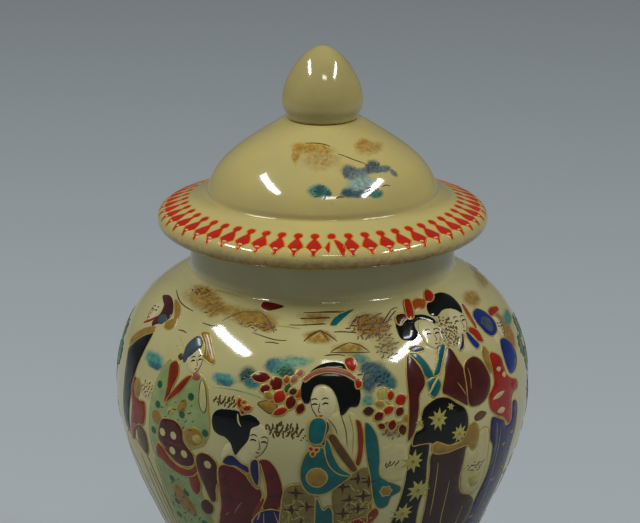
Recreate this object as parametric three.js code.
// Porcelain lidded jar of the baluster kind called a general jar: broad shoulders over a
// tapering body and a flared foot, a short upright neck, and a domed lid with a wide sloping
// brim, a locating ring that drops into the neck, and a bud finial luted on its crown.
// Lengths are millimetres and angles are degrees. +Z is up, the jar stands on z = 0, and
// every piece is turned about the Z axis.

import * as THREE from 'three';

// Jar body
const footRadius = 29.5;
const footRingWidth = 4.4;
const footRecess = 3.2;
const footRounding = 1.1;
const waistRadius = 28.0;
const waistHeight = 12;
const bellyRadius = 51.4;
const bellyHeight = 87.5;
const neckRadius = 32.6;
const neckBaseHeight = 117.8;
const neckFillet = 1.6;
const mouthHeight = 131.5;
const jarWall = 3.6;
const floorThickness = 5.4;
const floorCornerRadius = 9;
const lipRounding = 1.2;
const shoulderPitch = 21;

// Lid
const seatGap = 0.3;
const ringClearance = 1.4;
const ringThickness = 2.8;
const ringDepth = 9;
const ringRounding = 1.1;
const brimRadius = 40.6;
const brimBeadRadius = 2.6;
const brimBeadDrop = 3.5;
const brimPitch = 20;
const brimFlatOverhang = 0.8;
const domeRadius = 27.3;
const domeRise = 17.9;
const domeFillet = 1.3;
const domeLean = 10;
const lidWall = 3.4;

// Finial, and the flat pad on the dome that it is luted to
const luteGap = 0.3;
const padRadius = 9.7;
const finialBaseRadius = 8.9;
const finialBaseRounding = 0.8;
const finialRadius = 9.95;
const finialBulgeHeight = 5.4;
const finialHeight = 17.8;

// Fullness of the curves: each handle's length as a share of the rise or run that it spans
const footFullnessShare = 0.42;
const bodyFullnessShare = 0.273;
const shoulderRiseShare = 0.55;
const shoulderRunShare = 0.69;
const domeSideShare = 0.47;
const domeCrownShare = 0.54;
const domeCrownPitch = 25;
const budSideShare = 0.44;
const budTipShare = 0.46;
const budBaseShare = 0.5;
const brimHollowShare = 0.6;

// Facets: sides of a full turn, and steps along each stretch of an outline
const potSides = 56;
const finialSides = 36;
const roundSteps = 4;
const beadSteps = 8;
const bodySteps = 12;
const shoulderSteps = 8;
const domeSteps = 8;
const budSteps = 9;
const shortSteps = 3;

const glaze = { color: 0xd9cf9f, roughness: 0.14, metalness: 0 };

const radians = THREE.MathUtils.degToRad;

// A point of an outline: its radius from the axis and its height.
function at(radius, height) {
  return new THREE.Vector2(radius, height);
}

// A point a given distance from another, in a direction counted from straight out, turning up.
function towards(point, degrees, distance) {
  const angle = radians(degrees);
  return at(point.x + distance * Math.cos(angle), point.y + distance * Math.sin(angle));
}

function bezier(start, startHandle, endHandle, end) {
  return new THREE.CubicBezierCurve(start, startHandle, endHandle, end);
}

// Points of a round corner or bead, from one angle to the other about its centre.
function roundPoints(centre, radius, fromDegrees, toDegrees, steps) {
  const clockwise = toDegrees < fromDegrees;
  const arc = new THREE.EllipseCurve(
    centre.x, centre.y, radius, radius, radians(fromDegrees), radians(toDegrees), clockwise,
  );
  return arc.getPoints(steps);
}

// Points beside a curve at a steady distance to its left, which is the inside of a wall whose
// outer face runs upwards.
function insidePoints(curve, distance, steps) {
  const points = [];
  for (let step = 0; step <= steps; step += 1) {
    const share = step / steps;
    const tangent = curve.getTangent(share);
    const point = curve.getPoint(share);
    points.push(at(point.x - tangent.y * distance, point.y + tangent.x * distance));
  }
  return points;
}

// Joins stretches of an outline end to end and drops points that repeat the one before.
function joinStretches(...stretches) {
  const outline = [];
  for (const point of stretches.flat()) {
    const last = outline.at(-1);
    if (!last || last.distanceTo(point) > Number.EPSILON * bellyRadius * potSides) {
      outline.push(point);
    }
  }
  return outline;
}

// Turns a closed outline, given anticlockwise from the axis, into a solid of revolution.
function turned(name, outline, sides) {
  const geometry = new THREE.LatheGeometry(outline, sides);
  geometry.rotateX(Math.PI / 2);
  const piece = new THREE.Mesh(geometry, new THREE.MeshStandardMaterial(glaze));
  piece.name = name;
  return piece;
}

// Outer face of the jar as four curves from the foot ring up to the neck.
function jarCurves() {
  const waist = at(waistRadius, waistHeight);
  const belly = at(bellyRadius, bellyHeight);
  const footTop = at(footRadius, footRounding);
  const neckBase = towards(
    at(neckRadius + neckFillet, neckBaseHeight + neckFillet), -90 - shoulderPitch, neckFillet,
  );
  const footRise = waist.y - footTop.y;
  const bodyRise = belly.y - waist.y;
  const shoulderRise = neckBase.y - belly.y;
  const shoulderRun = belly.x - neckBase.x;
  return {
    foot: bezier(
      footTop, towards(footTop, 90, footRise * footFullnessShare),
      towards(waist, -90, footRise * footFullnessShare), waist,
    ),
    body: bezier(
      waist, towards(waist, 90, bodyRise * bodyFullnessShare),
      towards(belly, -90, bodyRise * bodyFullnessShare), belly,
    ),
    shoulder: bezier(
      belly, towards(belly, 90, shoulderRise * shoulderRiseShare),
      towards(neckBase, -shoulderPitch, shoulderRun * shoulderRunShare), neckBase,
    ),
    neckFilletCentre: at(neckRadius + neckFillet, neckBaseHeight + neckFillet),
  };
}

// Slip-cast shell: one steady wall from the flared foot to the neck, a turned foot ring with
// a recessed base inside it, and a flat-topped lip that the lid's brim rests on.
function makeJarBody() {
  const { foot, body, shoulder, neckFilletCentre } = jarCurves();
  const neckBore = neckRadius - jarWall;
  const floorHeight = footRecess + floorThickness;
  const recessRadius = footRadius - footRingWidth;

  const base = [
    at(0, footRecess),
    ...roundPoints(at(recessRadius - footRecess / 2, footRecess / 2), footRecess / 2, 90, 0, roundSteps),
    ...roundPoints(at(recessRadius + footRounding / 2, footRounding / 2), footRounding / 2, 180, 270, shortSteps),
    ...roundPoints(at(footRadius - footRounding, footRounding), footRounding, -90, 0, shortSteps),
  ];
  const neckOutside = [
    ...roundPoints(neckFilletCentre, neckFillet, 270 - shoulderPitch, 180, roundSteps),
    ...roundPoints(at(neckRadius - lipRounding, mouthHeight - lipRounding), lipRounding, 0, 90, shortSteps),
  ];
  const neckInside = [
    ...roundPoints(at(neckBore + lipRounding, mouthHeight - lipRounding), lipRounding, 90, 180, shortSteps),
    ...roundPoints(neckFilletCentre, neckFillet + jarWall, 180, 270 - shoulderPitch, roundSteps),
  ];
  const wallInside = [
    ...insidePoints(shoulder, jarWall, shoulderSteps).reverse(),
    ...insidePoints(body, jarWall, bodySteps).reverse(),
  ].filter((point) => point.y > floorHeight + floorCornerRadius);
  const lowest = wallInside.at(-1);
  const floorCorner = bezier(
    lowest, at(lowest.x, floorHeight + floorCornerRadius / 2),
    at(lowest.x - floorCornerRadius / 2, floorHeight), at(lowest.x - floorCornerRadius, floorHeight),
  );
  const outline = joinStretches(
    base,
    foot.getPoints(roundSteps),
    body.getPoints(bodySteps),
    shoulder.getPoints(shoulderSteps),
    neckOutside,
    neckInside,
    wallInside,
    floorCorner.getPoints(roundSteps),
    [at(0, floorHeight)],
  );
  return turned('jar_body', outline, potSides);
}

// Domed lid. Its brim slopes down to a rolled bead that hangs below the lip, its flat
// underside sits on the lip, and its ring stops it sliding off the neck.
function makeLidCover() {
  const seatHeight = mouthHeight + seatGap;
  const ringRadius = neckRadius - jarWall - ringClearance;
  const ringBore = ringRadius - ringThickness;
  const ringEnd = seatHeight - ringDepth;
  const beadCentre = at(brimRadius - brimBeadRadius, seatHeight - brimBeadDrop + brimBeadRadius);
  const beadTop = towards(beadCentre, 90 - brimPitch, brimBeadRadius);
  const domeBase = at(
    domeRadius, beadTop.y + (beadTop.x - domeRadius) * Math.tan(radians(brimPitch)),
  );
  const pad = at(padRadius, domeBase.y + domeRise);

  const dome = bezier(
    at(domeBase.x, domeBase.y + domeFillet),
    towards(at(domeBase.x, domeBase.y + domeFillet), 90 + domeLean, domeRise * domeSideShare),
    towards(pad, -domeCrownPitch, (domeRadius - padRadius) * domeCrownShare),
    pad,
  );
  const domeFoot = bezier(
    towards(domeBase, -brimPitch, domeFillet), domeBase,
    domeBase, at(domeBase.x, domeBase.y + domeFillet),
  );
  const flatEnd = at(neckRadius + brimFlatOverhang, seatHeight);
  const beadUnder = towards(beadCentre, -90 - brimPitch, brimBeadRadius);
  const brimHollow = bezier(
    flatEnd, at(THREE.MathUtils.lerp(flatEnd.x, beadUnder.x, brimHollowShare), seatHeight),
    towards(beadUnder, 180 - brimPitch, brimBeadRadius * brimHollowShare), beadUnder,
  );
  const domeInside = insidePoints(dome, lidWall, domeSteps)
    .reverse()
    .filter((point) => point.x < ringBore && point.y > seatHeight);

  const outline = joinStretches(
    [at(0, domeInside[0].y)],
    domeInside,
    [at(ringBore, domeInside.at(-1).y - domeFillet)],
    roundPoints(at(ringBore + ringRounding, ringEnd + ringRounding), ringRounding, 180, 270, shortSteps),
    roundPoints(at(ringRadius - ringRounding, ringEnd + ringRounding), ringRounding, -90, 0, shortSteps),
    [at(ringRadius, seatHeight)],
    brimHollow.getPoints(roundSteps),
    roundPoints(beadCentre, brimBeadRadius, -90 - brimPitch, 90 - brimPitch, beadSteps),
    domeFoot.getPoints(shortSteps),
    dome.getPoints(domeSteps),
    [at(0, pad.y)],
  );
  const cover = turned('lid_cover', outline, potSides);
  cover.userData.padHeight = pad.y;
  return cover;
}

// Bud finial: narrow at its foot, fullest low down and drawn to a blunt tip.
function makeLidFinial(padHeight) {
  const base = padHeight + luteGap;
  const foot = at(finialBaseRadius, base + finialBaseRounding);
  const bulge = at(finialRadius, base + finialBulgeHeight);
  const tip = at(0, base + finialHeight);
  const lowerRise = bulge.y - foot.y;
  const upperRise = tip.y - bulge.y;
  const lower = bezier(
    foot, towards(foot, 75, lowerRise * budBaseShare),
    towards(bulge, -90, lowerRise * budBaseShare), bulge,
  );
  const upper = bezier(
    bulge, towards(bulge, 90, upperRise * budSideShare),
    towards(tip, 0, finialRadius * budTipShare), tip,
  );
  const outline = joinStretches(
    [at(0, base)],
    roundPoints(
      at(finialBaseRadius - finialBaseRounding, base + finialBaseRounding),
      finialBaseRounding, -90, 0, shortSteps,
    ),
    lower.getPoints(roundSteps),
    upper.getPoints(budSteps),
  );
  return turned('lid_finial', outline, finialSides);
}

const jar = new THREE.Group();
jar.add(makeJarBody());

const lid = new THREE.Group();
const cover = makeLidCover();
lid.add(cover, makeLidFinial(cover.userData.padHeight));
jar.add(lid);

export default jar;
